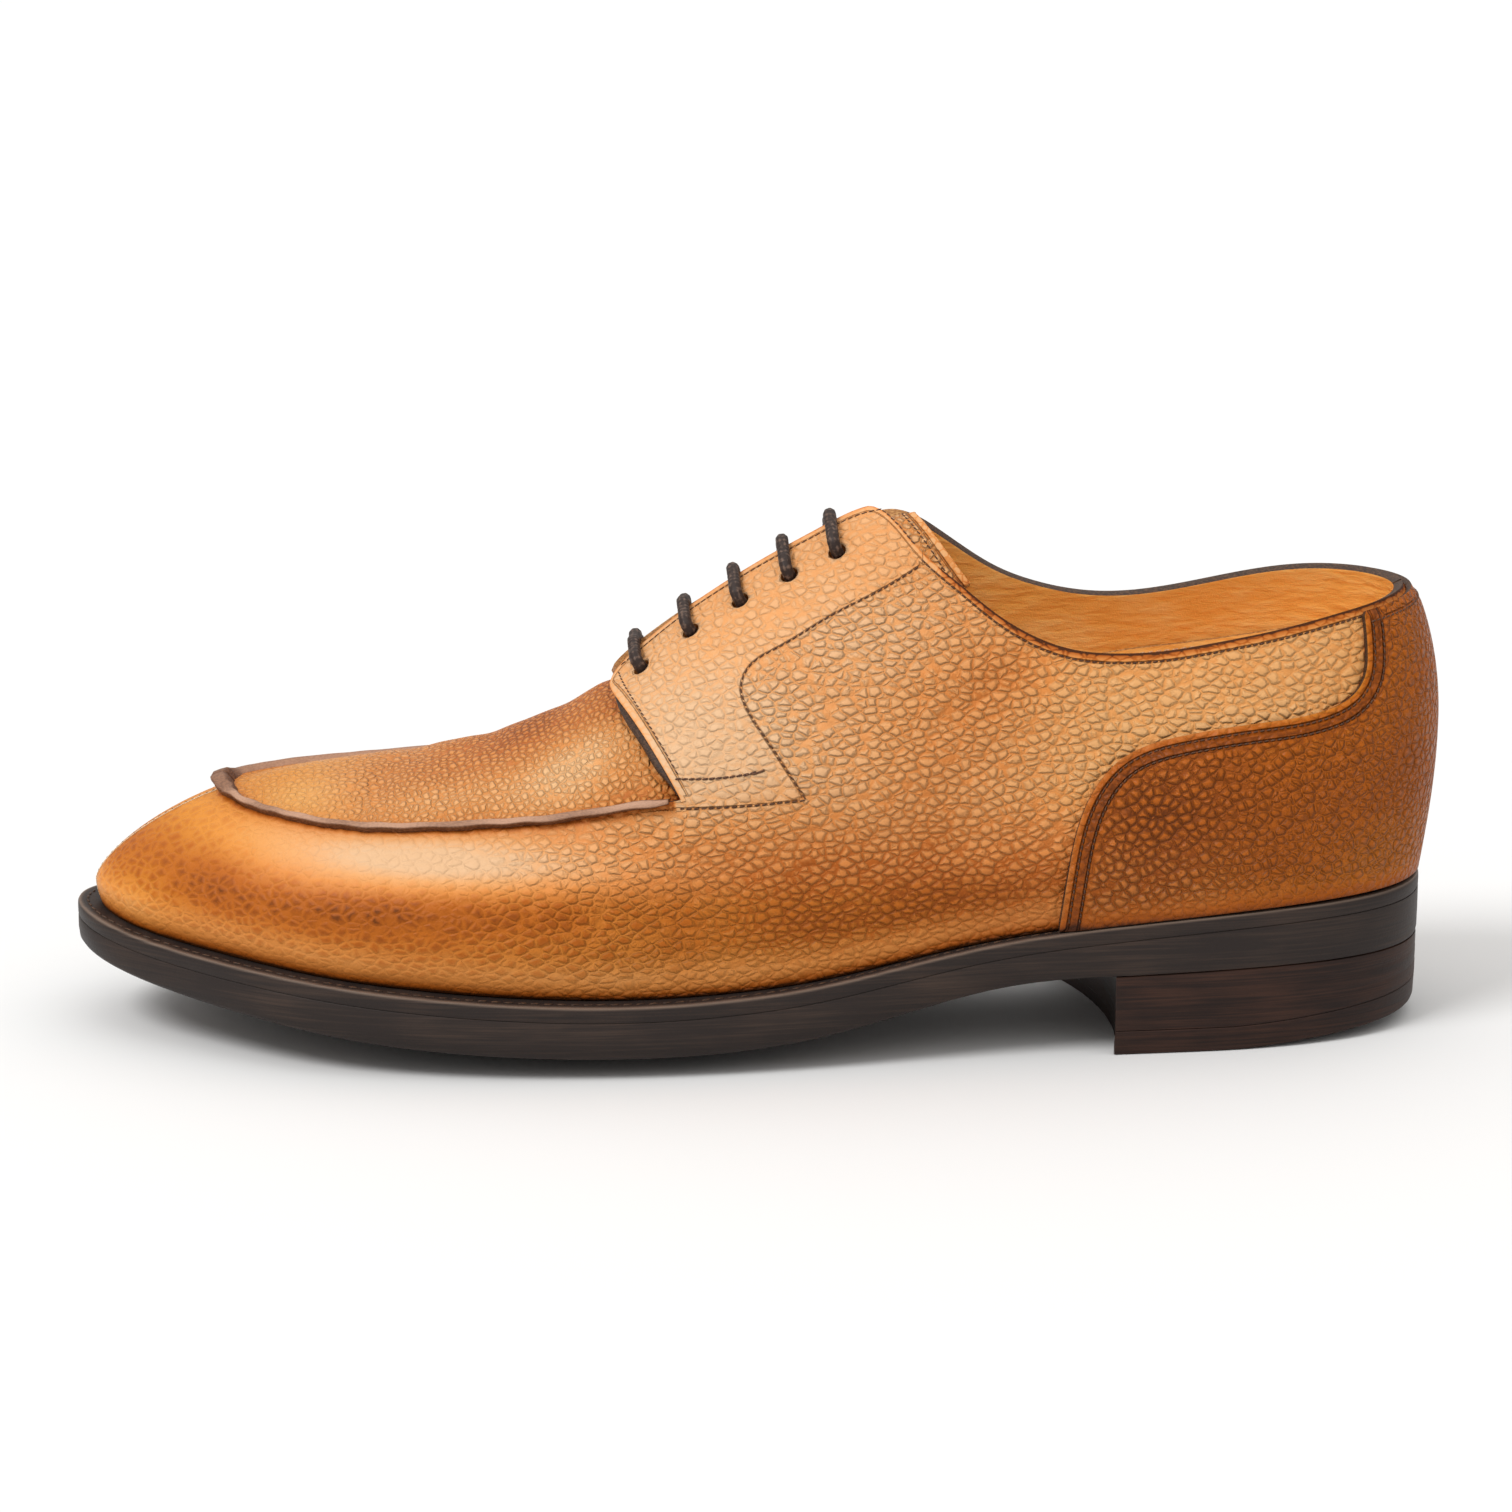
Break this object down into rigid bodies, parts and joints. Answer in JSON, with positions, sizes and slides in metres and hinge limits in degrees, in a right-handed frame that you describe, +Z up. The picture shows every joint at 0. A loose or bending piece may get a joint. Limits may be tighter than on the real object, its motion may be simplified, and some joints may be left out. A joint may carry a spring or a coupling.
{
  "type": "derby shoe",
  "caption": "Split-toe derby shoe for the left foot: tan pebble-grain leather upper with a raised apron seam, dark welted sole, stacked heel and straight-bar waxed lacing.",
  "frame": {"origin": "centre of the bounding box, on the floor the shoe stands on", "axes": "-X toe, +X heel, -Y outer side of the foot, +Y inner side, +Z up"},
  "size_m": [0.3124, 0.1043, 0.1201],
  "materials": {
    "tan_leather": "pebble grain, waxed",
    "dark_leather": "pebble grain, burnished",
    "sole_leather": "stained and waxed edge",
    "rubber": "matt",
    "lining_leather": "smooth, matt",
    "lace_cotton": "waxed"
  },
  "bodies": {
    "root": {"upper": "tan_leather", "apron_tongue": "tan_leather", "apron_seam": "dark_leather", "heel_counter": "dark_leather", "insole": "lining_leather", "welt": "sole_leather", "outsole": "sole_leather", "heel_stack": "sole_leather", "heel_top_piece": "rubber", "lace": "lace_cotton"}
  },
  "joints": []
}
